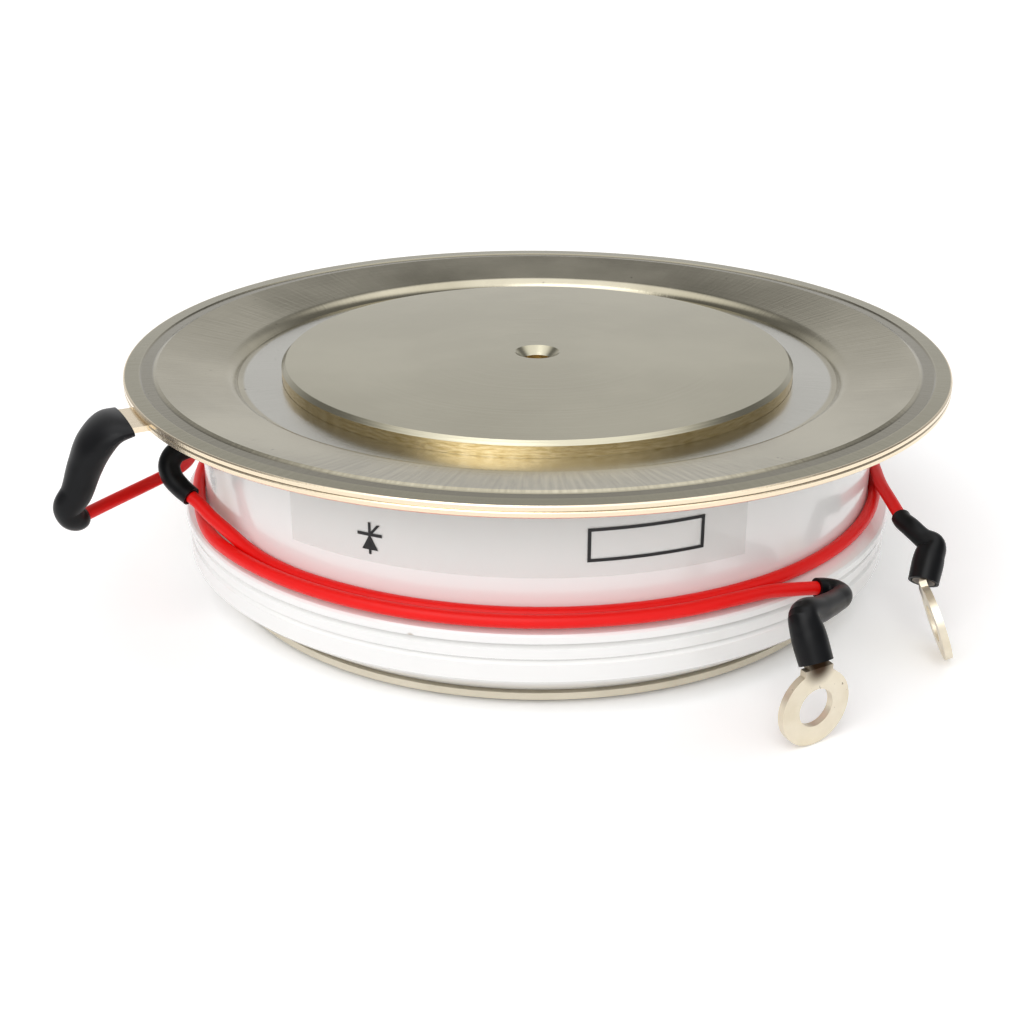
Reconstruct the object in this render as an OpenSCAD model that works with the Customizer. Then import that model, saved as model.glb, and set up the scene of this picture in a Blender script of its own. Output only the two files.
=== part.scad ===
// Disc thyristor: a press-pack capsule with a ribbed ceramic ring, two copper poles,
// a gate lead and an auxiliary cathode lead wound round the ceramic.
// The anode face lies on z = 0, centred on the origin, and the cathode face looks up.

/* [Poles] */
// Diameter of both contact faces
pole_d = 63; // [56:0.5:66]
// Height of the anode pole
anode_pole_h = 10.5; // [8:0.1:13]
// Height of the cathode pole
cathode_pole_h = 11.8; // [10.5:0.1:15]
// Chamfer round each contact face
pole_chamfer = 0.5; // [0.2:0.1:1]
// Width of the brazing collar round each pole
collar_w = 2; // [1:0.1:2.5]
// Height of the anode pole's collar
anode_collar_h = 2.8; // [1.5:0.1:4]
// Height of the cathode pole's collar
cathode_collar_h = 4; // [3:0.1:5]
// Diameter of the part of the cathode pole that presses on the wafer
cathode_foot_d = 55; // [48:0.5:56]
// Diameter of the centring hole in each contact face
centre_hole_d = 3.6; // [2.5:0.1:4.5]
// Depth of the centring hole
centre_hole_depth = 2.4; // [1.5:0.1:3]
// Mouth of the countersink on the centring hole
countersink_d = 5.6; // [5:0.1:7]

/* [Wafer stack] */
// Diameter of the molybdenum disc under the wafer
anode_disc_d = 62; // [56:0.5:62.5]
// Thickness of the molybdenum disc under the wafer
anode_disc_h = 2.5; // [1.5:0.1:3]
// Diameter of the silicon wafer
wafer_d = 60; // [54:0.5:60.5]
// Thickness of the silicon wafer
wafer_h = 0.7; // [0.4:0.1:1]
// Diameter of the molybdenum disc on the wafer
cathode_disc_d = 55; // [48:0.5:56]
// Thickness of the molybdenum disc on the wafer
cathode_disc_h = 1.5; // [1:0.1:2.5]
// Rubber left outside the wafer's edge
edge_rubber_w = 0.9; // [0.5:0.1:1.2]
// Height of the rubber over the wafer
edge_rubber_h = 0.7; // [0.4:0.1:1.2]

/* [Flanges] */
// Diameter of the cathode rim
flange_d = 100; // [96:0.5:106]
// Thickness of each flange sheet
sheet_t = 0.65; // [0.4:0.05:0.8]
// How far the rim stands above the cathode face
rim_proud = 0.6; // [0.2:0.1:1]
// Width of the flat land at the edge of the rim
rim_land_w = 1.9; // [1:0.1:2.5]
// Depth of the weld groove inside the land
weld_groove_depth = 0.15; // [0.05:0.05:0.3]
// Width of the weld groove's floor
weld_groove_w = 1.2; // [0.8:0.1:1.5]
// Height of the plateau above the rim
plateau_rise = 0.15; // [0.05:0.05:0.3]
// Diameter of the trough's outer wall
trough_d = 71; // [69:0.5:72]
// Depth of the trough below the plateau
trough_depth = 2.6; // [2.3:0.1:3]
// Radius of the rolled shoulder between plateau and trough
shoulder_r = 2; // [1.5:0.1:2.2]
// Diameter of the anode flange
anode_flange_d = 79; // [77:0.5:82]
// Thickness of the anode flange
anode_flange_t = 0.8; // [0.5:0.05:1.2]
// How far the anode face stands below the anode flange
anode_proud = 0.45; // [0.3:0.05:0.8]
// Width of the cathode tab
tab_w = 6.6; // [5:0.2:6.8]
// How far the tab reaches past the rim
tab_reach = 3.4; // [2.6:0.1:3.6]

/* [Ceramic] */
// Bore of the ceramic ring
ceramic_bore_d = 75; // [74:0.5:76]
// Diameter of the plain upper part
neck_d = 85.2; // [83.5:0.2:86]
// Diameter of the waist that holds the leads
waist_d = 82.8; // [81:0.2:82.8]
// Diameter of the rib under the leads
upper_rib_d = 88.4; // [87:0.2:90]
// Diameter of the two lower ribs
lower_rib_d = 87.4; // [86:0.2:90]
// Height of the shelf that the leads lie on
shelf_z = 11.5; // [11.1:0.1:11.5]
// Height of the upper end of the waist
waist_top_z = 15.2; // [14:0.1:16]
// Height over which the waist widens to the neck
waist_flare_h = 1.8; // [1:0.1:2.5]

/* [Gate] */
// Direction of the gate tube round the axis
gate_az = 204; // [204:1:204]
// Height of the gate tube
gate_z = 20.8; // [20.8:0.1:20.8]
// Outer diameter of the gate tube
gate_tube_d = 1.6; // [1.5:0.05:1.7]
// Bore of the gate tube
gate_tube_bore_d = 1.1; // [1.05:0.05:1.2]
// How far the gate tube stands out of the ceramic
gate_tube_reach = 1.3; // [1:0.1:1.5]
// Diameter of the recess for the gate contact in the cathode pole
gate_recess_d = 8; // [7.4:0.1:9]
// Height of the recess for the gate contact
gate_recess_h = 7.2; // [6.6:0.1:7.6]
// Wall of the insulating bush in the recess
bush_wall = 1.6; // [1:0.1:1.7]
// Diameter of the gate pin's collar
gate_collar_d = 3.8; // [3.4:0.1:4]
// Diameter of the gate pin's stem
gate_stem_d = 1.6; // [1.2:0.1:1.6]
// Diameter of the gate spring's wire
spring_wire_d = 0.6; // [0.4:0.05:0.65]
// Turns of the gate spring
spring_turns = 4; // [3:1:4]
// Diameter of the gate wire inside the housing
inner_wire_d = 0.9; // [0.6:0.1:0.9]
// Width of the slot that the inner gate wire lies in
wire_slot_w = 2.6; // [2.3:0.1:3.2]
// Wall of the insulating tube on the inner gate wire
wire_tube_wall = 0.5; // [0.3:0.05:0.5]

/* [Leads and terminals] */
// Outer diameter of both leads
lead_d = 1.5; // [1.3:0.1:1.5]
// Outer diameter of the terminal rings
ring_d = 8.6; // [7.6:0.1:8.6]
// Hole in the terminal rings
ring_hole_d = 4.3; // [3.2:0.1:4.5]
// Thickness of the terminal plate
ring_t = 0.8; // [0.5:0.1:1]
// Width of the terminal's tongue
tongue_w = 3.6; // [3:0.1:4]
// Outer diameter of the crimped barrel
barrel_d = 2.6; // [2.4:0.1:2.8]
// Bore of the crimped barrel
barrel_bore_d = 1.6; // [1.2:0.1:1.7]
// Length of the crimped barrel
barrel_l = 3; // [2.4:0.1:3.2]
// Angle between the ring and the barrel
tongue_bend = 31; // [20:1:40]
// Wall of the shrink sleeves over barrels and gate tube
sleeve_wall = 0.5; // [0.4:0.05:0.6]

/* [Clearances] */
// Gap round brazed tubes and bushes
braze_gap = 0.05; // [0.03:0.01:0.08]
// Gap between the locating ring and the parts that it centres
locating_gap = 0.15; // [0.1:0.05:0.25]
// Gap between a shrink sleeve and what it covers
sleeve_gap = 0.05; // [0.03:0.01:0.08]

/* [Hidden] */
$fn = 96;

copper = "#b9ab8c";
nickel = "#a9a596";
tin = "#d8cfba";
alumina = "#f6f6f4";
red_rubber = "#e10a05";
black_shrink = "#15161a";
molybdenum = "#8b8f96";

// Heights of the stack, from the anode face up
anode_collar_z = anode_proud + anode_flange_t;
anode_disc_z = anode_pole_h;
wafer_z = anode_disc_z + anode_disc_h;
cathode_disc_z = wafer_z + wafer_h;
cathode_pole_z = cathode_disc_z + cathode_disc_h;
cathode_face_z = cathode_pole_z + cathode_pole_h;
rim_z = cathode_face_z + rim_proud;
plateau_z = rim_z + plateau_rise;
seam_z = rim_z - sheet_t;
ceramic_top_z = seam_z - sheet_t;
trough_z = plateau_z - trough_depth;
collar_top_z = trough_z - sheet_t;

// Radii used by more than one piece
pole_r = pole_d / 2;
rim_r = flange_d / 2;
collar_r = pole_r + collar_w;
bore_r = ceramic_bore_d / 2;
anode_disc_r = anode_disc_d / 2;
wafer_r = wafer_d / 2;
recess_r = gate_recess_d / 2;
lead_r = lead_d / 2;
tab_az = 209;
edge_round = 0.12;
overlap = 1;

// Height at which the inner gate wire leaves the pin
pin_collar_z = cathode_pole_z + 0.4;
pin_collar_h = 1.9;
inner_wire_z = pin_collar_z + pin_collar_h / 2;
inner_wire_r = inner_wire_d / 2;
bush_r = recess_r - braze_gap;
bush_bore_r = recess_r - bush_wall;
bush_top_z = cathode_pole_z + gate_recess_h;
bush_roof_z = bush_top_z - 0.8;

// A point given as [radius, azimuth, height]
function polar(p) = [p[0] * cos(p[1]), p[0] * sin(p[1]), p[2]];
function polar_all(points) = [for (p = points) polar(p)];
function unit(v) = v / norm(v);
// Points of an arc in the plane of a profile
function arc(centre, r, from, to, steps = 6) =
    [for (i = [0:steps]) centre + r * [cos(from + (to - from) * i / steps), sin(from + (to - from) * i / steps)]];
// Direction of a path at one of its points
function heading(path, i) = unit(path[min(i + 1, len(path) - 1)] - path[max(i - 1, 0)]);
// A vector turned about x, then y, then z, as rotate() turns a solid
function turned(v, a) =
    let (p = [v[0], v[1] * cos(a[0]) - v[2] * sin(a[0]), v[1] * sin(a[0]) + v[2] * cos(a[0])])
    let (q = [p[0] * cos(a[1]) + p[2] * sin(a[1]), p[1], p[2] * cos(a[1]) - p[0] * sin(a[1])])
    [q[0] * cos(a[2]) - q[1] * sin(a[2]), q[0] * sin(a[2]) + q[1] * cos(a[2]), q[2]];

// Sideways directions along a path, each carried on from the one before so that a tube does not twist
function flatten(v, along) = unit(v - (v * along) * along);
function sideways(path) = [
    for (i = 0, v = flatten([-path[1][1] + path[0][1], path[1][0] - path[0][0], 0], heading(path, 0));
        i < len(path);
        i = i + 1, v = i < len(path) ? flatten(v, heading(path, i)) : v) v
];
// One ring of a swept tube: an ellipse of half width h[0] and half thickness h[1]
function section(centre, along, across, h, sides) =
    let (upward = cross(across, along))
    [for (k = [0:sides - 1])
        centre + h[0] * cos(360 * k / sides) * across + h[1] * sin(360 * k / sides) * upward];

// A closed tube along a path, with one pair of half sizes for each point
module swept_tube(path, halves, sides = 8) {
    last = len(path) - 1;
    across = sideways(path);
    points = [for (i = [0:last]) each section(path[i], heading(path, i), across[i], halves[i], sides)];
    walls = [for (i = [0:last - 1]) for (k = [0:sides - 1])
        [i * sides + k, (i + 1) * sides + k, (i + 1) * sides + (k + 1) % sides, i * sides + (k + 1) % sides]];
    start = [[for (k = [0:sides - 1]) k]];
    end = [[for (k = [sides - 1:-1:0]) last * sides + k]];
    polyhedron(points = points, faces = concat(walls, start, end));
}

module round_tube(path, r, sides = 8) {
    swept_tube(path, [for (p = path) [r, r]], sides);
}

// Lead routes as [radius, azimuth, height], chosen by hand; whole turns follow a circle
lap_step = 10;
lap_r = 42.4;
outer_lap_r = 44;
lap_z = 12.3;
upper_lap_z = 14;
gate_sleeve_route = [
    [43, 204, 20.8], [44.4, 204, 20.8], [45.6, 204.2, 20.4], [46.4, 204.8, 19.4], [46.4, 205.8, 18.2],
    [45.8, 207.2, 17.2], [45, 209, 16.4]
];
gate_lead_route = concat(
    [[43.9, 212.5, 14.9], [43, 216.5, 13.7], [42.5, 221, 12.7]],
    [for (a = [230:lap_step:540]) [lap_r, a, lap_z]],
    [[42.4, 549, lap_z], [42.6, 558, lap_z], [43.3, 566, lap_z], [43.9, 573, lap_z]],
    [for (a = [580:lap_step:660]) [outer_lap_r, a, lap_z]],
    [[44.2, 664, 12.2], [44.8, 668, 11.8], [45.6, 671.5, 11.4]]
);
cathode_lead_route = concat(
    [[57, 207.5, 15.9], [53.8, 205.1, 15.9], [50.6, 202.4, 15.9], [47.6, 199.4, 15.9], [45.1, 196, 15.8]],
    [[43.7, 192, 15.6], [43.1, 187, 15.3], [42.7, 180, 14.8], [42.5, 170, 14.3]],
    [for (a = [160:-lap_step:0]) [lap_r, a, upper_lap_z]],
    [[42.4, -8, 14], [43.2, -15, 13.9], [44.8, -20, 13.5], [46.4, -23.5, 12.9]]
);
gate_sleeve_path = polar_all(gate_sleeve_route);
gate_mouth = gate_sleeve_path[6];
gate_lead_path = concat(
    [gate_mouth, gate_mouth + unit(gate_mouth - gate_sleeve_path[5])],
    polar_all(gate_lead_route)
);
cathode_lead_path = polar_all(cathode_lead_route);

// Places of the two ring terminals: centre of the ring, and its turn about x, y and z
gate_ring_at = [28.3, -47, 4.4];
gate_ring_turn = [0, 0, 301];
cathode_ring_at = [45.2, -28.6, 4.4];
cathode_ring_turn = [45, 20, 180];
tongue_l = ring_d / 2 + 0.3;
barrel_from = 0.4;
barrel_lean = [-sin(tongue_bend), 0, cos(tongue_bend)];
barrel_foot = [0, 0, tongue_l] + barrel_from * barrel_lean;
barrel_head = barrel_foot + (barrel_l + sleeve_gap) * barrel_lean;
sleeve_kink = barrel_head + 1.5 * barrel_lean;
barrel_sleeve_r = barrel_d / 2 + sleeve_gap + sleeve_wall;
lead_sleeve_r = lead_r + sleeve_gap + 0.3;

// Anode pole: turned copper, with a collar that is brazed to the anode flange
module anode_pole() {
    color(copper) difference() {
        union() {
            cylinder(h = pole_chamfer, r1 = pole_r - pole_chamfer, r2 = pole_r);
            translate([0, 0, pole_chamfer]) cylinder(h = anode_pole_h - pole_chamfer, r = pole_r);
            translate([0, 0, anode_collar_z]) cylinder(h = anode_collar_h, r = collar_r);
        }
        centring_hole();
    }
}

// Countersunk blind hole that opens on the plane z = 0 and goes up
module centring_hole() {
    sink = (countersink_d - centre_hole_d) / 2;
    translate([0, 0, -overlap]) cylinder(h = centre_hole_depth + overlap, d = centre_hole_d);
    translate([0, 0, -overlap])
        cylinder(h = sink + overlap, d1 = countersink_d + 2 * overlap, d2 = centre_hole_d);
}

// Anode flange: flat sealing ring between the anode pole and the foot of the ceramic
module anode_flange() {
    color(tin) translate([0, 0, anode_proud]) difference() {
        cylinder(h = anode_flange_t, d = anode_flange_d);
        translate([0, 0, -overlap]) cylinder(h = anode_flange_t + 2 * overlap, r = pole_r);
    }
}

// Ceramic housing: glazed alumina ring with a waist for the leads and three ribs below it
module ceramic_housing() {
    foot_z = anode_collar_z;
    foot_r = anode_flange_d / 2 - 0.2;
    rib_r = lower_rib_d / 2;
    top_rib_r = upper_rib_d / 2;
    neck_r = neck_d / 2;
    waist_r = waist_d / 2;
    crease = 0.6;
    lip = 0.6;
    profile = concat(
        [[bore_r, foot_z], [foot_r, foot_z], [rib_r - 0.3, foot_z + 3]],
        [[rib_r, foot_z + 3.5], [rib_r, shelf_z - 5], [rib_r - crease, shelf_z - 4.5]],
        [[rib_r, shelf_z - 4.05], [rib_r, shelf_z - 2.9], [rib_r - crease, shelf_z - 2.45]],
        [[top_rib_r, shelf_z - 2.15]],
        arc([top_rib_r - lip, shelf_z - lip], lip, 0, 90),
        arc([waist_r + 0.15, shelf_z + 0.15], 0.15, 270, 180, 3),
        [[waist_r, waist_top_z], [neck_r, waist_top_z + waist_flare_h]],
        arc([neck_r - lip, ceramic_top_z - lip], lip, 0, 90),
        [[bore_r, ceramic_top_z]]
    );
    color(alumina) difference() {
        rotate_extrude() polygon(profile);
        gate_bore(gate_tube_d / 2 + braze_gap);
    }
}

// Radial bore for the gate tube, from inside the ring outwards
module gate_bore(r) {
    rotate([0, 0, gate_az]) translate([bore_r - overlap, 0, gate_z]) rotate([0, 90, 0])
        cylinder(h = neck_d / 2 - bore_r + 2 * overlap, r = r);
}

// Weld flange: flat sheet brazed on top of the ceramic, with the cathode tab stamped on its edge
module weld_flange() {
    inner_r = bore_r + 0.7;
    profile = [
        [inner_r, ceramic_top_z], [rim_r - edge_round, ceramic_top_z], [rim_r, ceramic_top_z + edge_round],
        [rim_r, seam_z - edge_round], [rim_r - edge_round, seam_z], [inner_r, seam_z]
    ];
    color(nickel) union() {
        rotate_extrude() polygon(profile);
        rotate([0, 0, tab_az]) translate([rim_r - overlap, -tab_w / 2, ceramic_top_z])
            cube([overlap + tab_reach, tab_w, sheet_t]);
    }
}

// Cathode flange: pressed sheet with a welded rim, a plateau, a rolled shoulder and a trough
module cathode_flange() {
    wall_r = trough_d / 2;
    groove_r = rim_r - rim_land_w;
    slope = 0.2;
    step_r = groove_r - slope - weld_groove_w;
    plateau_r = step_r - 0.7;
    floor_r = pole_r;
    roll = [wall_r + shoulder_r, plateau_z - shoulder_r];
    bend_r = 0.5;
    profile = concat(
        [[rim_r - edge_round, seam_z], [rim_r, seam_z + edge_round], [rim_r, rim_z - edge_round]],
        [[rim_r - edge_round, rim_z], [groove_r, rim_z], [groove_r - slope, rim_z - weld_groove_depth]],
        [[step_r, rim_z - weld_groove_depth], [plateau_r, plateau_z]],
        arc(roll, shoulder_r, 90, 180, 8),
        [[wall_r, trough_z + bend_r]],
        arc([wall_r - bend_r, trough_z + bend_r], bend_r, 0, -90, 4),
        [[floor_r, trough_z], [floor_r, collar_top_z]],
        arc([wall_r - bend_r, trough_z + bend_r], bend_r + sheet_t, -90, 0, 4),
        [[wall_r + sheet_t, plateau_z - shoulder_r]],
        arc(roll, shoulder_r - sheet_t, 180, 90, 8),
        [[plateau_r, plateau_z - sheet_t], [step_r, seam_z]]
    );
    color(nickel) rotate_extrude() polygon(profile);
}

// Cathode pole: turned copper, brazed to the trough, recessed underneath for the gate contact
module cathode_pole() {
    collar_z = collar_top_z - cathode_collar_h;
    color(copper) difference() {
        union() {
            translate([0, 0, cathode_pole_z]) cylinder(h = collar_z - cathode_pole_z, d = cathode_foot_d);
            translate([0, 0, collar_z]) cylinder(h = cathode_collar_h, r = collar_r);
            translate([0, 0, collar_top_z])
                cylinder(h = cathode_face_z - collar_top_z - pole_chamfer, r = pole_r);
            translate([0, 0, cathode_face_z - pole_chamfer])
                cylinder(h = pole_chamfer, r1 = pole_r, r2 = pole_r - pole_chamfer);
        }
        translate([0, 0, cathode_face_z]) rotate([180, 0, 0]) centring_hole();
        translate([0, 0, cathode_pole_z - overlap]) cylinder(h = gate_recess_h + overlap, r = recess_r);
        wire_slot(inner_wire_z + inner_wire_r + wire_tube_wall + braze_gap);
    }
}

// Radial slot, open at the bottom, from the gate recess to the outside of the pole
module wire_slot(top_z) {
    rotate([0, 0, gate_az]) translate([0, -wire_slot_w / 2, cathode_pole_z - overlap])
        cube([pole_d, wire_slot_w, top_z - cathode_pole_z + overlap]);
}

// Molybdenum disc that carries the wafer
module anode_molybdenum_disc() {
    color(molybdenum) translate([0, 0, anode_disc_z]) cylinder(h = anode_disc_h, d = anode_disc_d);
}

// Silicon wafer, lapped flat
module silicon_wafer() {
    color("#5d6470") translate([0, 0, wafer_z]) cylinder(h = wafer_h, d = wafer_d);
}

// Rubber cast round the wafer's bevelled edge
module wafer_edge_rubber() {
    lap_w = 1.2;
    profile = [
        [wafer_r, wafer_z], [wafer_r + edge_rubber_w, wafer_z],
        [wafer_r + edge_rubber_w, cathode_disc_z + edge_rubber_h],
        [wafer_r - lap_w, cathode_disc_z + edge_rubber_h], [wafer_r - lap_w, cathode_disc_z],
        [wafer_r, cathode_disc_z]
    ];
    color("#c9c6bf") rotate_extrude() polygon(profile);
}

// Molybdenum disc between the wafer and the cathode pole, open in the middle for the gate
module cathode_molybdenum_disc() {
    color(molybdenum) translate([0, 0, cathode_disc_z]) difference() {
        cylinder(h = cathode_disc_h, d = cathode_disc_d);
        translate([0, 0, -overlap]) cylinder(h = cathode_disc_h + 2 * overlap, r = recess_r);
    }
}

// Locating ring: plastic ring that centres the wafer stack in the ceramic
module locating_ring() {
    ring_z = anode_collar_z + anode_collar_h;
    inner_r = max(anode_disc_r, wafer_r + edge_rubber_w, pole_r) + locating_gap;
    color("#e9e4d4") translate([0, 0, ring_z]) difference() {
        cylinder(h = wafer_z - ring_z, r = bore_r - locating_gap);
        translate([0, 0, -overlap]) cylinder(h = wafer_z - ring_z + 2 * overlap, r = inner_r);
    }
}

// Insulating bush that holds the gate contact in the cathode pole
module gate_bush() {
    color("#efeee8") difference() {
        translate([0, 0, cathode_pole_z]) cylinder(h = gate_recess_h, r = bush_r);
        translate([0, 0, cathode_pole_z - overlap])
            cylinder(h = bush_roof_z - cathode_pole_z + overlap, r = bush_bore_r);
        wire_slot(inner_wire_z + inner_wire_r + wire_tube_wall + braze_gap);
    }
}

// Gate pin: stepped contact pin, drilled from the side for its wire
module gate_pin() {
    color("#cfc7a6") difference() {
        union() {
            translate([0, 0, cathode_disc_z]) cylinder(h = pin_collar_z - cathode_disc_z, d = gate_stem_d);
            translate([0, 0, pin_collar_z]) cylinder(h = pin_collar_h, d = gate_collar_d);
            translate([0, 0, pin_collar_z + pin_collar_h])
                cylinder(h = bush_roof_z - pin_collar_z - pin_collar_h - 1, d = gate_stem_d);
        }
        rotate([0, 0, gate_az]) translate([gate_stem_d / 2, 0, inner_wire_z]) rotate([0, 90, 0])
            cylinder(h = gate_collar_d, r = inner_wire_r + braze_gap);
    }
}

// Gate spring: compression coil between the pin's collar and the roof of the bush
module gate_spring() {
    coil_steps = 20;
    wire_r = spring_wire_d / 2;
    coil_r = gate_stem_d / 2 + braze_gap + wire_r;
    from_z = pin_collar_z + pin_collar_h + wire_r;
    rise = bush_roof_z - wire_r - from_z;
    steps = coil_steps * spring_turns;
    coil = [for (i = [0:steps]) polar([coil_r, 360 * i / coil_steps, from_z + rise * i / steps])];
    color("#b8b8b4") round_tube(coil, wire_r, 6);
}

// Wire from the gate pin along the slot and up to the gate tube
module gate_inner_wire() {
    route = [
        [gate_stem_d / 2, gate_az, inner_wire_z], [bush_r, gate_az, inner_wire_z],
        [cathode_foot_d / 2, gate_az, inner_wire_z], [cathode_foot_d / 2 + 1.5, gate_az, inner_wire_z + 0.4],
        [bore_r - 3.2, gate_az, gate_z - 0.5], [bore_r - 2, gate_az, gate_z], [bore_r + 3, gate_az, gate_z]
    ];
    color("#c8b27a") round_tube(polar_all(route), inner_wire_r);
}

// Insulating tube on the wire where it runs through the pole
module gate_wire_tube() {
    tube_l = cathode_foot_d / 2 - recess_r - 1;
    color("#f2f1ec") rotate([0, 0, gate_az]) translate([recess_r, 0, inner_wire_z]) rotate([0, 90, 0])
        difference() {
            cylinder(h = tube_l, r = inner_wire_r + braze_gap + wire_tube_wall);
            translate([0, 0, -overlap]) cylinder(h = tube_l + 2 * overlap, r = inner_wire_r + braze_gap);
        }
}

// Gate tube: thin metal tube brazed into the wall of the ceramic
module gate_tube() {
    tube_l = neck_d / 2 - bore_r + 0.6 + gate_tube_reach;
    color(tin) rotate([0, 0, gate_az]) translate([bore_r - 0.6, 0, gate_z]) rotate([0, 90, 0]) difference() {
        cylinder(h = tube_l, d = gate_tube_d);
        translate([0, 0, -overlap]) cylinder(h = tube_l + 2 * overlap, d = gate_tube_bore_d);
    }
}

// Black shrink sleeve from the gate tube round to the start of the gate lead
module gate_sleeve() {
    tube_end = neck_d / 2 + gate_tube_reach + sleeve_gap;
    color(black_shrink) difference() {
        round_tube(gate_sleeve_path, gate_tube_d / 2 + sleeve_gap + 0.4, 12);
        rotate([0, 0, gate_az]) translate([bore_r, 0, gate_z]) rotate([0, 90, 0])
            cylinder(h = tube_end - bore_r, d = gate_tube_d + 2 * sleeve_gap);
    }
}

// Gate lead: rubber-covered wire, one turn on the waist and a second outside it
module gate_lead() {
    color(red_rubber) round_tube(gate_lead_path, lead_r);
}

// Auxiliary cathode lead: from the tab's sleeve round the back of the ceramic
module cathode_lead() {
    color(red_rubber) round_tube(cathode_lead_path, lead_r);
}

// Ring terminal: stamped ring and tongue, bent, with a crimped barrel
module ring_terminal() {
    difference() {
        union() {
            translate([-ring_t / 2, 0, 0]) rotate([0, 90, 0]) cylinder(h = ring_t, d = ring_d);
            translate([-ring_t / 2, -tongue_w / 2, 0]) cube([ring_t, tongue_w, tongue_l]);
            translate([0, 0, tongue_l]) rotate([0, -tongue_bend, 0]) {
                translate([-ring_t / 2, -barrel_d / 2, -ring_t / 4]) cube([ring_t, barrel_d, barrel_from + 1]);
                translate([0, 0, barrel_from]) cylinder(h = barrel_l, d = barrel_d);
            }
        }
        translate([-ring_t, 0, 0]) rotate([0, 90, 0]) cylinder(h = 2 * ring_t, d = ring_hole_d);
        translate([0, 0, tongue_l]) rotate([0, -tongue_bend, 0])
            translate([0, 0, barrel_from + 1.4]) cylinder(h = barrel_l, d = barrel_bore_d);
    }
}

module gate_ring_terminal() {
    color(tin) translate(gate_ring_at) rotate(gate_ring_turn) ring_terminal();
}

module cathode_ring_terminal() {
    color(tin) translate(cathode_ring_at) rotate(cathode_ring_turn) ring_terminal();
}

// Space that a terminal's barrel takes up inside its sleeve
module barrel_space() {
    translate([0, 0, tongue_l]) rotate([0, -tongue_bend, 0]) translate([0, 0, barrel_from - overlap])
        cylinder(h = barrel_l + overlap + sleeve_gap, d = barrel_d + 2 * sleeve_gap);
}

// Shrink sleeve from the end of a lead down over the barrel of its terminal
module lead_sleeve(lead_path, knee, at, turn) {
    end = len(lead_path) - 1;
    mouth = lead_path[end];
    along = unit(mouth - lead_path[end - 1]);
    cover = [for (p = [sleeve_kink, barrel_head, barrel_foot]) at + turned(p, turn)];
    path = concat([mouth, mouth + 0.6 * along], knee, cover);
    thin = [for (i = [0:len(knee) + 1]) [lead_sleeve_r, lead_sleeve_r]];
    thick = [for (r = [1.25, barrel_sleeve_r, barrel_sleeve_r]) [r, r]];
    color(black_shrink) difference() {
        swept_tube(path, concat(thin, thick), 12);
        translate(at) rotate(turn) barrel_space();
    }
}

// Gate lead's sleeve: the lead is folded back on itself before it reaches the terminal
module gate_lead_sleeve() {
    fold = [
        [31.5, -33.8, 11.2], [32.2, -34.1, 11.2], [32.6, -34.6, 11.2], [32.7, -35.3, 11.2], [32.5, -36, 11.3],
        [31.5, -37.7, 11.6], [29.2, -41.5, 12.6]
    ];
    lead_sleeve(gate_lead_path, fold, gate_ring_at, gate_ring_turn);
}

// Cathode lead's sleeve: bent once towards the terminal
module cathode_lead_sleeve() {
    bend = [[43.3, -20.4, 12.5], [44.5, -21.7, 11.7]];
    lead_sleeve(cathode_lead_path, bend, cathode_ring_at, cathode_ring_turn);
}

// Cathode tab's sleeve: flat on the tab, then round, drooping and folded towards the lead
module cathode_tab_sleeve() {
    start_r = rim_r + 1.6;
    tab_z = (ceramic_top_z + seam_z) / 2;
    droop = polar_all([
        [start_r, tab_az, tab_z], [start_r + 1.6, tab_az, tab_z - 0.3], [start_r + 3.4, tab_az, tab_z - 1.9],
        [start_r + 4.8, tab_az, tab_z - 4.4], [start_r + 6, tab_az, tab_z - 7.2]
    ]);
    fold_r = 1.6;
    mouth = cathode_lead_path[0];
    along = unit(mouth - cathode_lead_path[1]);
    fold = [for (t = [0, 30, 60, 90])
        mouth + (2 - fold_r * (1 - cos(t))) * along + [0, 0, fold_r * (1 - sin(t))]];
    path = concat(droop, fold, [mouth]);
    flat = [[4.4, 1], [4.3, 1.4], [3.6, 1.8], [2.6, 1.8], [1.9, 1.7]];
    halves = concat(flat, [for (r = [1.45, 1.45, 1.35, 1.2, 1.2]) [r, r]]);
    color(black_shrink) difference() {
        swept_tube(path, halves, 16);
        rotate([0, 0, tab_az]) translate([rim_r, -tab_w / 2 - sleeve_gap, ceramic_top_z - sleeve_gap])
            cube([tab_reach + sleeve_gap, tab_w + 2 * sleeve_gap, sheet_t + 2 * sleeve_gap]);
    }
}

anode_pole();
anode_flange();
ceramic_housing();
weld_flange();
cathode_flange();
cathode_pole();
anode_molybdenum_disc();
silicon_wafer();
wafer_edge_rubber();
cathode_molybdenum_disc();
locating_ring();
gate_bush();
gate_spring();
gate_pin();
gate_inner_wire();
gate_wire_tube();
gate_tube();
gate_sleeve();
gate_lead();
gate_lead_sleeve();
gate_ring_terminal();
cathode_tab_sleeve();
cathode_lead();
cathode_lead_sleeve();
cathode_ring_terminal();
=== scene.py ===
import bmesh
import bpy
import numpy as np
from mathutils import Euler, Matrix, Vector


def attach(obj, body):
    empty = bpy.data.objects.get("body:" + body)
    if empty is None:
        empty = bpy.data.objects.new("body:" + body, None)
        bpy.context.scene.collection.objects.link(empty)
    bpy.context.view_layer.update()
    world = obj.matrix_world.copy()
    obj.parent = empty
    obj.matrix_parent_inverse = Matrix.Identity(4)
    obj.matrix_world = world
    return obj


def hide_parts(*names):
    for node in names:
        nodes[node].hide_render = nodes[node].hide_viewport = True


# A disc thyristor: a glazed ceramic ring closed by two nickel-plated copper poles, with its gate
# lead and its auxiliary cathode lead wound round the neck. Lengths are in millimetres unless a
# comment says metres: materials and finished meshes are in metres.

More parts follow.
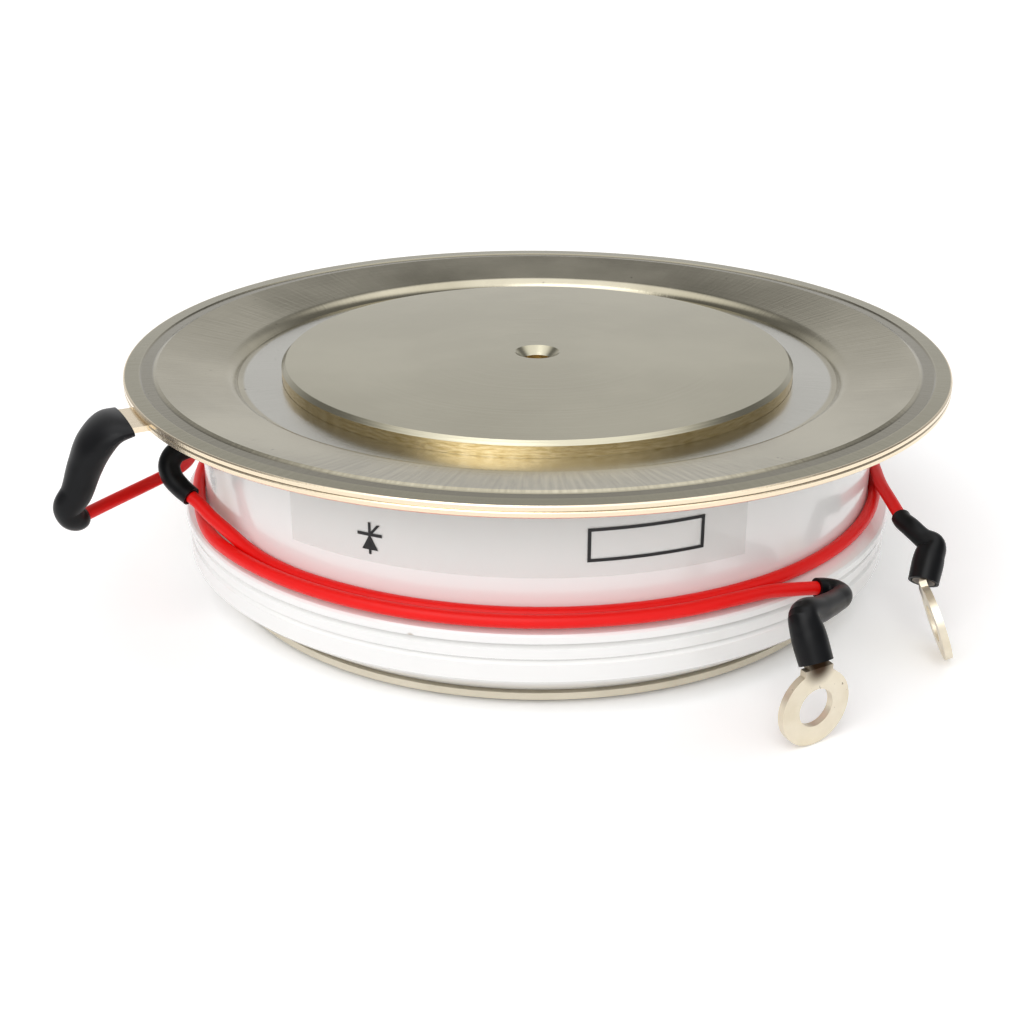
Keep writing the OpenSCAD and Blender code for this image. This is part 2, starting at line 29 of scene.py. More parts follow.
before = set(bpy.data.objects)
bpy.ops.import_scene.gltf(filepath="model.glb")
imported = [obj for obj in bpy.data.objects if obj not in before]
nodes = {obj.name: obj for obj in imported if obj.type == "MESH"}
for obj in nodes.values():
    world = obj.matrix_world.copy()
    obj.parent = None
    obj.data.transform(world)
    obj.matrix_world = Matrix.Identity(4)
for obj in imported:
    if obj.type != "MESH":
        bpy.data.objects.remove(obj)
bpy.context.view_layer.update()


# Ceramic ring: alumina, pressed, fired and glazed, with a plain neck, a sloping shelf under the leads, a rib,
# a groove and two lower ribs. Brazing left a brown stain beside the gate tube. Below it, under the gate
# sleeve and the leads, a soft tan patch is painted shade. The glaze has a small chip on the upper rib.
def srgb(code):
    """A hex colour as linear red, green, blue and alpha: each channel over 12.92 when dark, else to the
    power 2.4."""
    v = np.array([int(code[i:i + 2], 16) for i in (1, 3, 5)]) / 255
    linear = np.where(v <= 0.04045, v / 12.92, ((v + 0.055) / 1.055) ** 2.4)
    return (*map(float, linear), 1.0)


def add(tree, kind, inputs=(), **settings):
    """A new shader node with its settings; each input is a constant, or another node's socket to link."""
    n = tree.nodes.new(kind)
    for key, value in settings.items():
        setattr(n, key, value)
    for key, value in dict(inputs).items():
        if isinstance(value, bpy.types.NodeSocket):
            tree.links.new(value, n.inputs[key])
        else:
            n.inputs[key].default_value = value
    return n.outputs


def new_material(name, **inputs):
    """A material with the given inputs of its principled shader, the tree it sits in, and that shader."""
    m = bpy.data.materials.new(name)
    m.use_nodes = True
    shader = m.node_tree.nodes["Principled BSDF"]
    for key, value in inputs.items():
        shader.inputs[key.replace("_", " ")].default_value = value
    return m, m.node_tree, shader


def mix(tree, factor, first, second):
    """The first colour where the factor is 0, the second where it is 1, and a straight blend between."""
    ends = {"Factor": factor, "A": first, "B": second}
    return add(tree, "ShaderNodeMix", ends, data_type="RGBA")["Result"]


def fade(tree, value, start, end):
    """0 before start and 1 after end, with a smooth step between."""
    ends = {"Value": value, "From Min": start, "From Max": end}
    return add(tree, "ShaderNodeMapRange", ends, interpolation_type="SMOOTHSTEP")["Result"]


def calc(tree, operation, *values):
    """The result of one sum on numbers or sockets."""
    return add(tree, "ShaderNodeMath", dict(enumerate(values)), operation=operation)["Value"]


def near(tree, spot, place, reach):
    """1 within three tenths of the reach of a place, in metres, and 0 beyond its reach."""
    away = add(tree, "ShaderNodeVectorMath", {0: spot, 1: place}, operation="DISTANCE")["Value"]
    return fade(tree, away, reach, 0.3 * reach)


def noise(tree, where, scale, detail=3.0):
    """Cloud noise from 0 to 1, of about one cloud in 1/scale metres."""
    return add(tree, "ShaderNodeTexNoise", {"Vector": where, "Scale": scale, "Detail": detail})["Fac"]


def polar(points):
    """Points given as radius, azimuth in degrees and height, turned into x, y and z: radius times cosine and
    sine of the azimuth. Any further columns stay."""
    p = np.array(points, float)
    a = np.radians(p[:, 1])
    return np.column_stack([p[:, 0] * np.cos(a), p[:, 0] * np.sin(a), p[:, 2:]])


def dress(material, slot, *names):
    """Gives CAD nodes one material. The slot is not used."""
    for name in names:
        nodes[name].data.materials.clear()
        nodes[name].data.materials.append(material)


neck_r = 41.6
rib_r = 44.2
bore_r = 37.0
alumina, t, shader = new_material("glazed alumina", Roughness=0.2, Coat_Weight=0.5, Coat_Roughness=0.06)
spot = add(t, "ShaderNodeTexCoord")["Object"]
stain_at, shade_patch_at, chip_at = polar([(neck_r, 204.5, 16.9), (neck_r, 208, 15.8), (rib_r, 253, 9.5)]) / 1000
blotch = noise(t, spot, 900.0)
stain = calc(t, "MULTIPLY", near(t, spot, stain_at, 0.0026), fade(t, blotch, 0.3, 0.6))
# Painted shade: a soft tan patch on the neck below the stain, under the gate sleeve and the leads.
painted_shade_patch = calc(t, "MULTIPLY", near(t, spot, shade_patch_at, 0.0075), 0.55)
colour = mix(t, noise(t, spot, 90.0), srgb("#f7f7f6"), srgb("#fcfbf9"))
colour = mix(t, painted_shade_patch, colour, srgb("#d6cab9"))
colour = mix(t, stain, colour, srgb("#3f2a14"))
colour = mix(t, near(t, spot, chip_at, 0.0006), colour, srgb("#b7a995"))
t.links.new(colour, shader.inputs["Base Color"])
dress(alumina, "ceramic", "ceramic_housing")


def spun(line, steps=288):
    """A line of radius and height spun round the axis: one row of points for each point of the line."""
    a = np.linspace(0, 2 * np.pi, steps, endpoint=False)
    r, z = np.array(line, float).T[:, :, None] / 1000
    return np.stack([r * np.cos(a), r * np.sin(a), z + 0 * a], -1)


def new_piece(name, walls, material, slot, *replaced):
    """A closed piece made of walls: each wall is an outer and an inner grid of points, joined along their
    borders, and a mark that says whether its grids close on themselves along their second direction. Edges
    that turn by more than the sharp angle, in radians, stay sharp."""
    sharp = 0.3
    points, faces, count = [], [], 0
    for outer, inner, wraps in walls:
        rows, cols = outer.shape[:2]
        index = np.arange(rows * cols).reshape(rows, cols) + count
        if wraps:
            index = np.column_stack([index, index[:, 0]])
        corners = [index[:-1, :-1], index[:-1, 1:], index[1:, 1:], index[1:, :-1]]
        skin = np.stack(corners, -1).reshape(-1, 4)
        borders = [index[0], index[-1]] + ([] if wraps else [index[:, 0], index[:, -1]])
        far = rows * cols
        strips = [np.stack([e[:-1], e[1:], e[1:] + far, e[:-1] + far], 1) for e in borders]
        points += [outer.reshape(-1, 3), inner.reshape(-1, 3)]
        faces += [skin, skin + far, *strips]
        count += 2 * far
    mesh = bpy.data.meshes.new(name)
    mesh.from_pydata(np.vstack(points), [], np.vstack(faces).tolist())
    work = bmesh.new()
    work.from_mesh(mesh)
    bmesh.ops.recalc_face_normals(work, faces=work.faces)
    work.to_mesh(mesh)
    work.free()
    mesh.polygons.foreach_set("use_smooth", np.ones(len(mesh.polygons), bool))
    mesh.set_sharp_from_angle(angle=sharp)
    mesh.materials.append(material)
    obj = bpy.data.objects.new(name, mesh)
    bpy.context.collection.objects.link(obj)
    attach(obj, "root")
    if replaced:
        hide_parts(*replaced)
    return obj


outside = np.array([
    (39.3, 1.6), (43.3, 4.55), (43.9, 5.15), (43.9, 7.1), (43.35, 7.45), (43.9, 7.8), (43.9, 8.9), (43, 9.35),
    (rib_r, 9.75), (rib_r, 10.5), (44, 10.75), (neck_r, 11.45), (neck_r, 24.2), (41.4, 24.6),
])
bore = np.column_stack([np.full(len(outside), bore_r), outside[:, 1]])
new_piece("ceramic_ring", [(spun(outside), spun(bore), True)], alumina, "ceramic", "ceramic_housing")


# Poles: turned copper, nickel plated, one on each side of the wafer. The lathe leaves fine rings on the
# faces; steep faces, such as the wall in the trough, are given a warmer, lighter colour with scratches.
def turned_spot(tree):
    """The place on a turned piece: the point itself, its distance from the axis and its angle round it."""
    spot = add(tree, "ShaderNodeTexCoord")["Object"]
    axes = add(tree, "ShaderNodeSeparateXYZ", {"Vector": spot})
    flat = add(tree, "ShaderNodeVectorMath", {0: spot, 1: (1, 1, 0)}, operation="MULTIPLY")["Vector"]
    radius = add(tree, "ShaderNodeVectorMath", {0: flat}, operation="LENGTH")["Value"]
    return spot, axes, radius, calc(tree, "ARCTAN2", axes["Y"], axes["X"])


plated_copper, t, shader = new_material("nickel-plated turned copper", Metallic=1.0)
spot, axes, radius, angle = turned_spot(t)
lathe_at = add(t, "ShaderNodeCombineXYZ", {"X": radius, "Y": axes["Z"]})["Vector"]
lathe = noise(t, lathe_at, 2600.0)
smudge = noise(t, spot, 45.0, 8.0)
face = mix(t, fade(t, smudge, 0.3, 0.7), srgb("#a9a490"), srgb("#bab5a1"))
short_angle = calc(t, "MULTIPLY", angle, 0.006)
scratch_at = add(t, "ShaderNodeCombineXYZ", {"X": short_angle, "Y": axes["Z"]})["Vector"]
scratch = noise(t, scratch_at, 4000.0, 6.0)
wall = mix(t, fade(t, scratch, 0.25, 0.75), srgb("#d3ba80"), srgb("#f3dfb2"))
normal = add(t, "ShaderNodeNewGeometry")["Normal"]
upright = add(t, "ShaderNodeSeparateXYZ", {"Vector": normal})["Z"]
on_wall = fade(t, calc(t, "ABSOLUTE", upright), 0.4, 0.2)
t.links.new(mix(t, on_wall, face, wall), shader.inputs["Base Color"])
t.links.new(calc(t, "MULTIPLY_ADD", smudge, 0.16, 0.16), shader.inputs["Roughness"])
bump = add(t, "ShaderNodeBump", {"Height": lathe, "Strength": 0.25, "Distance": 0.00005})["Normal"]
t.links.new(bump, shader.inputs["Normal"])
dress(plated_copper, "pole_copper", "cathode_pole", "anode_pole")

# Sheets: pressed nickel-plated sheet, brushed from the middle outwards after pressing. The lower one is
# brazed on the ceramic and the upper one on the pole, and their rims are welded together. The cut edges of
# the rims are cream where the weld ran over them. The radii in this material are in metres.
sheet_t = 0.65
rim_r = 50
rim_edge_r = 49.88
sheet, t, shader = new_material("nickel-plated pressed sheet", Metallic=1.0)
spot, axes, radius, angle = turned_spot(t)
arc_length = calc(t, "MULTIPLY", angle, 0.045)
short_radius = calc(t, "MULTIPLY", radius, 0.06)
brushed_at = add(t, "ShaderNodeCombineXYZ", {"X": arc_length, "Y": short_radius})["Vector"]
brushing = noise(t, brushed_at, 2200.0)
lathe = noise(t, add(t, "ShaderNodeCombineXYZ", {"X": radius})["Vector"], 1800.0)
smudge = noise(t, spot, 60.0, 6.0)
colour = mix(t, fade(t, smudge, 0.3, 0.7), srgb("#a09a87"), srgb("#b8b29f"))
in_trough = fade(t, radius, 0.0363, 0.0359)
colour = mix(t, in_trough, colour, srgb("#bdbbb3"))
# Painted shade: the front of the sheet, towards the camera, is darkened in brushed streaks.
painted_front_shade = calc(t, "MULTIPLY", fade(t, axes["Y"], -0.033, -0.041), fade(t, brushing, 0.25, 0.75))
colour = mix(t, calc(t, "MULTIPLY", painted_front_shade, 0.4), colour, srgb("#716c5d"))
# Painted shade: the low weld groove between the step and the rim is darkened.
groove = calc(t, "MULTIPLY", fade(t, radius, 0.0464, 0.0467), fade(t, radius, 0.0482, 0.048))
colour = mix(t, groove, colour, srgb("#8a8576"))
on_rim = fade(t, radius, 0.048, 0.0483)
colour = mix(t, on_rim, colour, srgb("#98937f"))
specks = fade(t, noise(t, spot, 1300.0), 0.72, 0.78)
colour = mix(t, specks, colour, srgb("#4a4638"))
cut_edge = fade(t, radius, 0.0497, 0.0499)
colour = mix(t, cut_edge, colour, srgb("#efdfc4"))
t.links.new(colour, shader.inputs["Base Color"])
t.links.new(calc(t, "MULTIPLY_ADD", smudge, 0.16, 0.14), shader.inputs["Roughness"])
height = calc(t, "ADD", brushing, calc(t, "MULTIPLY", lathe, 0.6))
bump = add(t, "ShaderNodeBump", {"Height": height, "Strength": 0.3, "Distance": 0.00005})["Normal"]
t.links.new(bump, shader.inputs["Normal"])
dress(sheet, "flange_nickel", "cathode_flange", "weld_flange")

# Lower sheet: drawn down from its rim to the top of the ceramic, where it is brazed on. The cathode tab is
# stamped in one piece with it and stands out on the left.
tab_az = np.radians(209)
tab_in = 49
tab_out = 53.4
tab_half = 3.3
low_rim_top = 26.95
low_rim_under = 26.3
u, v = np.meshgrid((tab_in, tab_out), (-tab_half, tab_half), indexing="ij")
tab_x = u * np.cos(tab_az) - v * np.sin(tab_az)
tab_y = u * np.sin(tab_az) + v * np.cos(tab_az)
tab = np.stack([tab_x, tab_y, low_rim_top + 0 * u], -1)
tab_wall = (tab / 1000, (tab - (0, 0, sheet_t)) / 1000, False)
upper = [(38, 25.25), (42.03, 25.25), (43.73, low_rim_top), (rim_edge_r, low_rim_top), (rim_r, 26.83)]
lower = [(38, 24.6), (42.3, 24.6), (44, low_rim_under), (rim_edge_r, low_rim_under), (rim_r, 26.42)]
new_piece("lower_sheet", [(spun(upper), spun(lower), True), tab_wall], sheet, "flange_nickel", "weld_flange")

# Upper sheet: pressed into a weld groove in its rim, a small step, a plateau that dips inwards to a rolled
# lip, and a trough round the pole, where it is brazed on. Its rim lies on the rim of the lower sheet.
lean = np.radians(9.1)
lip_r = 2
lip_at = np.array([38.3, 26.4])
trough_r = 31.52
trough_top = 25.15
trough_under = 24.5
lip_from = 25.2
roll = np.linspace(np.radians(72), lean, 14)
lip_top = lip_at - lip_r * np.column_stack([np.sin(roll) - np.sin(lean), np.cos(lean) - np.cos(roll)])
lip_under = lip_top + sheet_t * np.column_stack([np.sin(roll), -np.cos(roll)])
lip_under[:, 1] = np.maximum(lip_under[:, 1], trough_under)
on_lip = lip_top[:, 1] > lip_from
upper = np.vstack([
    (trough_r, trough_top), (36.1, trough_top), lip_top[on_lip], (46.15, 27.66), (46.7, 27.45), (47.9, 27.45),
    (48.1, 27.6), (rim_edge_r, 27.6), (rim_r, 27.48),
])
lower = np.vstack([
    (trough_r, trough_under), (36.4, trough_under), lip_under[on_lip], (46.15, 27), (46.7, 26.97),
    (47.9, 26.97), (48.1, 26.97), (rim_edge_r, 26.97), (rim_r, 27.09),
])
new_piece("upper_sheet", [(spun(upper), spun(lower), True)], sheet, "flange_nickel", "cathode_flange")

# Anode flange: the lower sealing ring between the ceramic and the anode pole, brazed to both. It is nickel
# plated and dull, with a slight cream tint; its pale colour is also a painted reflection of the bright floor.
dull_nickel, t, shader = new_material("dull nickel plate", Metallic=0.35, Roughness=0.45)
spot = add(t, "ShaderNodeTexCoord")["Object"]
# Painted reflection: the pale cream stands in for the bright floor mirrored in the flange, over a slight
# cream tint of its own.
colour = mix(t, noise(t, spot, 200.0), srgb("#d8cfba"), srgb("#efe6d2"))
t.links.new(colour, shader.inputs["Base Color"])
dress(dull_nickel, "flange_nickel", "anode_flange")

# Ring terminals and gate tube: stamped copper, tin plated. The tarnish stands in spots, and it is brown where
# the barrels were crimped on the leads and heated. The places of the crimps are in metres.
tin, t, shader = new_material("tin-plated copper", Metallic=0.75, Roughness=0.36)
spot = add(t, "ShaderNodeTexCoord")["Object"]
colour = mix(t, noise(t, spot, 420.0, 5.0), srgb("#d9cdb4"), srgb("#f2ead8"))
for crimp in ((0.0282, -0.0468, 0.0092), (0.0442, -0.0251, 0.0078)):
    colour = mix(t, near(t, spot, crimp, 0.0026), colour, srgb("#3d2812"))
spots = fade(t, noise(t, spot, 1900.0), 0.7, 0.76)
colour = mix(t, spots, colour, srgb("#5c4e36"))
t.links.new(colour, shader.inputs["Base Color"])
dress(tin, "terminal_tin", "gate_ring_terminal", "cathode_ring_terminal", "gate_tube")

# Pieces inside the housing: the wafer between its molybdenum discs with cast rubber round its edge, the
# moulded insulators that hold the stack and the gate contact, and the plated gate contact itself. The closed
# housing hides them all.
for label, code, metal, rough, slot, names in (
    ("lapped molybdenum", "#8e9298", 0.9, 0.35, "molybdenum",
     ("anode_molybdenum_disc", "cathode_molybdenum_disc")),
    ("lapped silicon", "#5d6470", 0.4, 0.15, "silicon", ("silicon_wafer",)),
    ("cast silicone rubber", "#c9c6bf", 0.0, 0.6, "edge_rubber", ("wafer_edge_rubber",)),
    ("moulded insulator", "#ece8dc", 0.0, 0.5, "insulator", ("locating_ring", "gate_bush", "gate_wire_tube")),
    ("plated contact metal", "#c9ba8a", 0.9, 0.3, "contact_metal",
     ("gate_spring", "gate_pin", "gate_inner_wire")),
):
    inner = new_material(label, Base_Color=srgb(code), Metallic=metal, Roughness=rough)[0]
    dress(inner, slot, *names)


# Label: a clear film round the front of the neck, printed in black with the sign for a thyristor and an empty
# frame. It is stuck on, so it follows the ceramic.
film_t = 0.03
film_lift = 0.02
print_lift = 0.07


def on_neck(corners, lift, steps=24):
    """A patch on the neck between four corners given as azimuth and height, blended straight between them, as
    an outer and an inner grid."""
    u, v = np.meshgrid(np.linspace(0, 1, steps), np.linspace(0, 1, 3), indexing="ij")
    a, b, c, d = np.array(corners, float)
    at = ((1 - u) * (1 - v))[..., None] * a + (u * (1 - v))[..., None] * b + (u * v)[..., None] * c \
        + ((1 - u) * v)[..., None] * d
    grids = []
    for r in (neck_r + lift + film_t, neck_r + lift):
        flat = np.column_stack([np.full(at[..., 0].size, r), at.reshape(-1, 2)])
        grids.append(polar(flat).reshape(*u.shape, 3) / 1000)
    return *grids, False


film = new_material("clear film", Base_Color=srgb("#e9e8e5"), Roughness=0.25, Alpha=0.13)[0]
film_corners = [(231, 16), (302, 16), (302, 23), (231, 23)]
new_piece("label_film", [on_neck(film_corners, film_lift)], film, "ceramic")
ink = new_material("black ink", Base_Color=srgb("#0c0c0e"), Roughness=0.5)[0]
sign = [
    [(245.4, 16.9), (245.8, 16.9), (245.8, 20.5), (245.4, 20.5)],
    [(243.6, 18.95), (247.6, 18.95), (247.6, 19.3), (243.6, 19.3)],
    [(245.5, 19.2), (246, 19.2), (247.3, 20.3), (246.8, 20.3)],
    [(244.3, 17.4), (246.9, 17.4), (245.7, 19), (245.5, 19)],
]
empty_frame = [
    [(277.2, 17.7), (294.6, 17.9), (294.6, 18.25), (277.2, 18.05)],
    [(277.2, 21.1), (294.6, 21.3), (294.6, 21.65), (277.2, 21.45)],
    [(277.2, 17.7), (277.7, 17.7), (277.7, 21.45), (277.2, 21.45)],
    [(294.1, 17.9), (294.6, 17.9), (294.6, 21.65), (294.1, 21.65)],
]
strokes = sign + empty_frame
new_piece("label_print", [on_neck(stroke, print_lift) for stroke in strokes], ink, "shrink_sleeve")

# Gate sleeve: black polyolefin shrink tube, cut with scissors and shrunk with hot air. It covers the joint
# from the gate tube in the ceramic's wall round to the start of the gate lead.
sleeve_wall = 0.3
sleeve, t, shader = new_material("black shrink sleeve", Roughness=0.38, Specular_IOR_Level=0.2)
spot = add(t, "ShaderNodeTexCoord")["Object"]
t.links.new(mix(t, noise(t, spot, 500.0), srgb("#070708"), srgb("#101114")), shader.inputs["Base Color"])


def smooth(points, steps=10):
    """A smooth line through the points: on each step a cubic whose ends head along the line through their
    neighbours."""
    p = np.asarray(points, float)
    gap = np.linalg.norm(np.diff(p[:, :3], axis=0), axis=1)
    slope = np.gradient(p, np.append(0, np.cumsum(gap)), axis=0)
    u = np.linspace(0, 1, steps, endpoint=False)[None, :, None]
    leave, reach = slope[:-1, None] * gap[:, None, None], slope[1:, None] * gap[:, None, None]
    line = ((2 * u**3 - 3 * u**2 + 1) * p[:-1, None] + (u**3 - 2 * u**2 + u) * leave
            + (3 * u**2 - 2 * u**3) * p[1:, None] + (u**3 - u**2) * reach)
    return np.vstack([line.reshape(-1, p.shape[1]), p[-1:]])


def pipe(rows, across, sides=40):
    """A bent tube along rows of x, y, z, half width and half thickness, as an outer and an inner grid: ovals
    that stand square to the line, with the half width along the given direction."""
    line = smooth(rows) / 1000
    path, half = line[:, :3], line[:, 3:]
    along = np.gradient(path, axis=0)
    along /= np.linalg.norm(along, axis=1)[:, None]
    side = across - (along @ np.array(across, float))[:, None] * along
    side /= np.linalg.norm(side, axis=1)[:, None]
    up = np.cross(along, side)
    a = np.linspace(0, 2 * np.pi, sides, endpoint=False)[:, None]
    grids = []
    for h in (half, half - sleeve_wall / 1000):
        wide = h[:, None, :1] * np.cos(a) * side[:, None]
        thick = h[:, None, 1:] * np.sin(a) * up[:, None]
        grids.append(path[:, None] + wide + thick)
    return *grids, True


gate_sleeve_rows = polar([
    (41.8, 204, 20.8, 1.25, 1.25), (44.4, 204, 20.8, 1.25, 1.25), (45.6, 204.2, 20.4, 1.25, 1.25),
    (46.4, 204.8, 19.4, 1.25, 1.25), (46.4, 205.8, 18.2, 1.25, 1.25), (45.8, 207.2, 17.2, 1.2, 1.2),
    (45, 209, 16.4, 1.15, 1.15),
])
gate_sleeve = new_piece("gate_sleeve_black", [pipe(gate_sleeve_rows, (0.39, -0.92, 0))], sleeve,
                        "shrink_sleeve", "gate_sleeve")

# Cathode tab's sleeve: the same black shrink tube, pressed flat over the tab. It droops, and it is pinched
# where it is folded towards the start of the cathode lead.
cathode_mouth, cathode_next = polar([(57, 207.5, 15.9), (53.8, 205.1, 15.9)])
out = (cathode_mouth - cathode_next) / np.linalg.norm(cathode_mouth - cathode_next)
droop = polar([
    (51.6, 209, 26.625, 4.4, 1), (53.2, 209, 26.325, 4.3, 1.4), (55, 209, 24.725, 3.6, 1.8),
    (56.4, 209, 22.225, 2.6, 1.8), (57.6, 209, 19.425, 1.9, 1.7),
])
fold_out = 2
fold_r = 1.6
fold = []
for a, r in ((0, 1.6), (np.pi / 4, 1.5), (np.pi / 2, 1.35)):
    place = cathode_mouth + (fold_out - fold_r * (1 - np.cos(a))) * out + (0, 0, fold_r * (1 - np.sin(a)))
    fold.append(np.append(place, (r, r)))
tab_rows = np.vstack([droop, fold, np.append(cathode_mouth, (1.15, 1.15))])
tab_sleeve = new_piece("cathode_tab_sleeve_black", [pipe(tab_rows, (0.485, -0.875, 0))], sleeve,
                       "shrink_sleeve", "cathode_tab_sleeve")


# Gate lead's sleeve: the same black shrink tube over the lead's end and the terminal's barrel. The lead is
# folded back on itself under its own turn and bent down to the terminal.
tongue = 4.6
barrel_lean = np.radians(-31)
barrel_steps = (4.95, 3.45, 0.4)
straight = 0.6


def barrel_point(s, at, turn):
    """A point on a terminal's barrel, s past the bend in its tongue: up the tongue from the middle of the
    ring, then s along the leaning barrel, turned and moved to the terminal's place."""
    leaning = Matrix.Rotation(barrel_lean, 3, "Y") @ Vector((0, 0, s))
    return np.array(Vector(at) + Euler(np.radians(turn)).to_matrix() @ (Vector((0, 0, tongue)) + leaning))


gate_terminal = ((28.3, -47, 4.4), (0, 0, 301))
gate_end = polar([(44.8, 668, 11.8), (45.6, 671.5, 11.4)])
gate_way = (gate_end[1] - gate_end[0]) / np.linalg.norm(gate_end[1] - gate_end[0])
rows = np.vstack([
    gate_end[1], gate_end[1] + straight * gate_way,
    [(31.5, -33.8, 11.2), (32.2, -34.1, 11.2), (32.6, -34.6, 11.2), (32.7, -35.3, 11.2), (32.5, -36, 11.3),
     (31.5, -37.7, 11.6), (29.2, -41.5, 12.6)],
    [barrel_point(s, *gate_terminal) for s in barrel_steps],
])
radii = np.array([1.1, 1.1, 1.1, 1.1, 1.1, 1.15, 1.2, 1.25, 1.4, 1.6, 1.8, 1.8])
gate_lead_sleeve = new_piece(
    "gate_lead_sleeve_black", [pipe(np.column_stack([rows, radii, radii]), (0, 0, 1))], sleeve,
    "shrink_sleeve", "gate_lead_sleeve")

# Cathode lead's sleeve: the same black shrink tube over the lead's end and the terminal's barrel, bent once
# towards its terminal.
cathode_terminal = ((45.2, -28.6, 4.4), (45, 20, 180))
cathode_end = polar([(44.8, -20, 13.5), (46.4, -23.5, 12.9)])
cathode_way = (cathode_end[1] - cathode_end[0]) / np.linalg.norm(cathode_end[1] - cathode_end[0])
rows = np.vstack([
    cathode_end[1], cathode_end[1] + straight * cathode_way, [(43.3, -20.4, 12.5), (44.5, -21.7, 11.7)],
    [barrel_point(s, *cathode_terminal) for s in barrel_steps],
])
radii = np.array([1.1, 1.1, 1.15, 1.2, 1.5, 1.75, 1.75])
cathode_lead_sleeve = new_piece(
    "cathode_lead_sleeve_black", [pipe(np.column_stack([rows, radii, radii]), (0, 0, 1))], sleeve,
    "shrink_sleeve", "cathode_lead_sleeve")

# Gate lead: stranded wire in red silicone rubber with a dull skin. It leaves the gate sleeve on the left,
# runs once round the neck, comes out over that turn for the front of a second one and ends in its sleeve at
# the front right.
lead_thick = 1.5
rubber, t, shader = new_material("red silicone rubber", Roughness=0.45, Specular_IOR_Level=0.35)
spot = add(t, "ShaderNodeTexCoord")["Object"]
t.links.new(mix(t, noise(t, spot, 300.0), srgb("#ec0400"), srgb("#f60903")), shader.inputs["Base Color"])


def new_lead(name, points, thick, node):
    """A cord along a smooth line through the points: one open spline with a round section, which hides the
    CAD node it stands for. Its length is the sum of the steps along that line."""
    line = smooth(points, 6) / 1000
    curve = bpy.data.curves.new(name, "CURVE")
    curve.dimensions = "3D"
    curve.bevel_depth = thick / 2000
    curve.bevel_resolution = 6
    curve.use_fill_caps = True
    spline = curve.splines.new("POLY")
    spline.points.add(len(line) - 1)
    spline.points.foreach_set("co", np.column_stack([line, np.ones(len(line))]).astype(np.float32).ravel())
    spline.use_smooth = True
    curve.materials.append(rubber)
    obj = bpy.data.objects.new(name, curve)
    bpy.context.collection.objects.link(obj)
    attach(obj, "root")
    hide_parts(node)
    length = float(np.linalg.norm(np.diff(line, axis=0), axis=1).sum())
    return length


turn_r = 42.4
second_turn_r = 44
gate_z = 12.3
mouth_way = gate_sleeve_rows[-1, :3] - gate_sleeve_rows[-2, :3]
gate_start = gate_sleeve_rows[-1, :3] + np.outer((0, 1), mouth_way / np.linalg.norm(mouth_way))
gate_route = np.vstack([
    gate_start,
    polar([(43.9, 212.5, 14.9), (43, 216.5, 13.7), (42.5, 221, 12.7)]
          + [(turn_r, a, gate_z) for a in range(230, 541, 10)]
          + [(turn_r, 549, gate_z), (42.6, 558, gate_z), (43.3, 566, gate_z), (43.9, 573, gate_z)]
          + [(second_turn_r, a, gate_z) for a in range(580, 661, 10)]
          + [(44.2, 664, 12.2), (44.8, 668, 11.8), (45.6, 671.5, 11.4)]),
])
gate_length = new_lead("gate_lead_red", gate_route, lead_thick, "gate_lead")

# Auxiliary cathode lead: the same red wire. It runs from the sleeve of the cathode tab past the gate sleeve,
# round the back above the gate lead, and out to its own sleeve on the right.
cathode_z = 14
cathode_route = polar(
    [(57, 207.5, 15.9), (53.8, 205.1, 15.9), (50.6, 202.4, 15.9), (47.6, 199.4, 15.9), (45.1, 196, 15.8),
     (43.7, 192, 15.6), (43.1, 187, 15.3), (42.7, 180, 14.8), (42.5, 170, 14.3)]
    + [(turn_r, a, cathode_z) for a in range(160, -1, -10)]
    + [(turn_r, -8, cathode_z), (43.2, -15, 13.9), (44.8, -20, 13.5), (46.4, -23.5, 12.9)])
cathode_length = new_lead("cathode_lead_red", cathode_route, lead_thick, "cathode_lead")

# Floor: a pale sheet that stands for paper on a table. Where it is looked at or mirrored its colour is lifted
# to white, so that only soft shadows show on it; as a source of light it stays pale.
floor_half = 3
floor_pale = (0.8, 0.8, 0.8, 1)
floor_white = (1.16, 1.16, 1.16, 1)
floor = bpy.data.objects.new("floor", bpy.data.meshes.new("floor"))
floor_corners = [(-floor_half, -floor_half, 0), (floor_half, -floor_half, 0), (floor_half, floor_half, 0),
                 (-floor_half, floor_half, 0)]
floor.data.from_pydata(floor_corners, [], [(0, 1, 2, 3)])
bpy.context.collection.objects.link(floor)
paper, t, shader = new_material("studio floor", Roughness=1.0, Specular_IOR_Level=0.0)
rays = add(t, "ShaderNodeLightPath")
shown = calc(t, "MAXIMUM", rays["Is Glossy Ray"], rays["Is Transmission Ray"])
seen = calc(t, "MAXIMUM", rays["Is Camera Ray"], shown)
coat = add(t, "ShaderNodeBsdfDiffuse", {"Color": mix(t, seen, floor_pale, floor_white)})["BSDF"]
t.links.new(coat, t.nodes["Material Output"].inputs["Surface"])
floor.data.materials.append(paper)

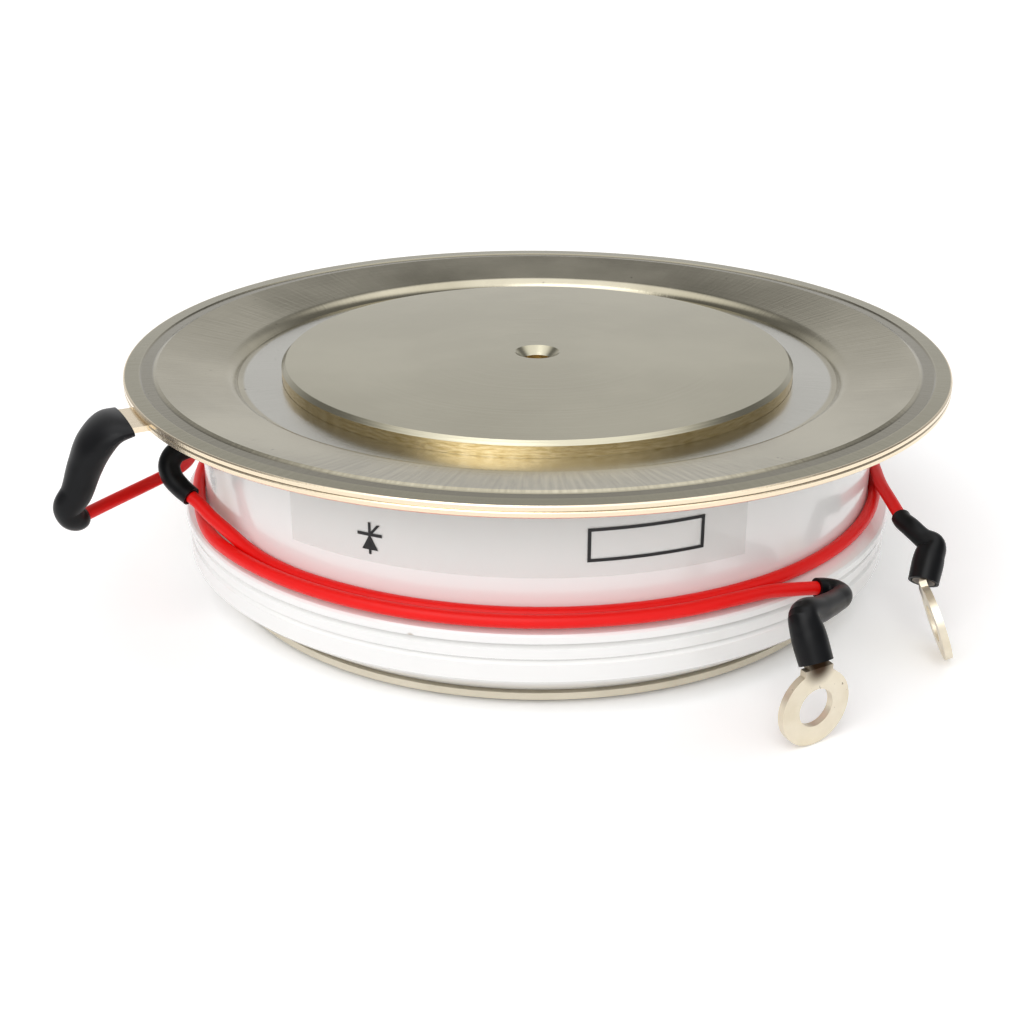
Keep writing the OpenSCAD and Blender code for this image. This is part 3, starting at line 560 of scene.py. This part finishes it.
# Surround: the studio round the table. It is white to the camera, even for soft light, and for shiny pieces a
# bright roof over dim sides, with lighter walls low in front and behind.
soft_level = 0.74
roof_level = 1.5
wall_level = 0.62
dim_level = 0.24
white_level = 1.0
world = bpy.data.worlds.new("studio")
bpy.context.scene.world = world
world.use_nodes = True
t = world.node_tree
rays = add(t, "ShaderNodeLightPath")
way = add(t, "ShaderNodeSeparateXYZ", {"Vector": add(t, "ShaderNodeTexCoord")["Generated"]})
roof = calc(t, "MULTIPLY", fade(t, way["Z"], 0.62, 0.88), roof_level)
low = calc(t, "MULTIPLY", fade(t, way["Z"], 0.56, 0.36), wall_level)
ends = calc(t, "MULTIPLY", fade(t, calc(t, "ABSOLUTE", way["Y"]), 0.4, 0.95), low)
shine = calc(t, "ADD", calc(t, "ADD", roof, ends), dim_level)
lit = {"Factor": rays["Is Glossy Ray"], "A": soft_level, "B": shine}
level = add(t, "ShaderNodeMix", lit, data_type="FLOAT")["Result"]
seen = calc(t, "MAXIMUM", rays["Is Camera Ray"], rays["Is Transmission Ray"])
level = add(t, "ShaderNodeMix", {"Factor": seen, "A": level, "B": white_level}, data_type="FLOAT")["Result"]
t.links.new(level, t.nodes["Background"].inputs["Strength"])
t.nodes["Background"].inputs["Color"].default_value = (1, 1, 1, 1)

# Key light: a very soft sun from the front left, above the rim, wide enough that no shadow has a hard edge.
# Its spread is in radians.
sun_strength = 1.25
sun_spread = 0.9
sun_way = Vector((0.3, 0.75, -0.75))
sun = bpy.data.objects.new("key_light", bpy.data.lights.new("key_light", "SUN"))
sun.data.energy = sun_strength
sun.data.angle = sun_spread
sun.matrix_world = sun_way.to_track_quat("-Z", "Y").to_matrix().to_4x4()
bpy.context.collection.objects.link(sun)

# Camera: close in front and looking down on the rim, with the lens and shift of the picture. Its place and
# its nearest distance are in metres.
camera_at = (0, -0.17889, 0.08326)
forward = Vector((-0.0066, 0.9161, -0.4009)).normalized()
right = Vector((1, 0.0085, 0.003))
right = (right - right.dot(forward) * forward).normalized()
turn = Matrix((right, right.cross(forward), -forward)).transposed().to_4x4()
camera = bpy.data.objects.new("camera", bpy.data.cameras.new("camera"))
camera.matrix_world = Matrix.Translation(camera_at) @ turn
camera.data.sensor_width = 36
camera.data.lens = 52.68
camera.data.shift_x = -0.01394
camera.data.shift_y = 0.0016
camera.data.clip_start = 0.001
bpy.context.collection.objects.link(camera)
bpy.context.scene.camera = camera
bpy.context.scene.view_settings.view_transform = "Standard"
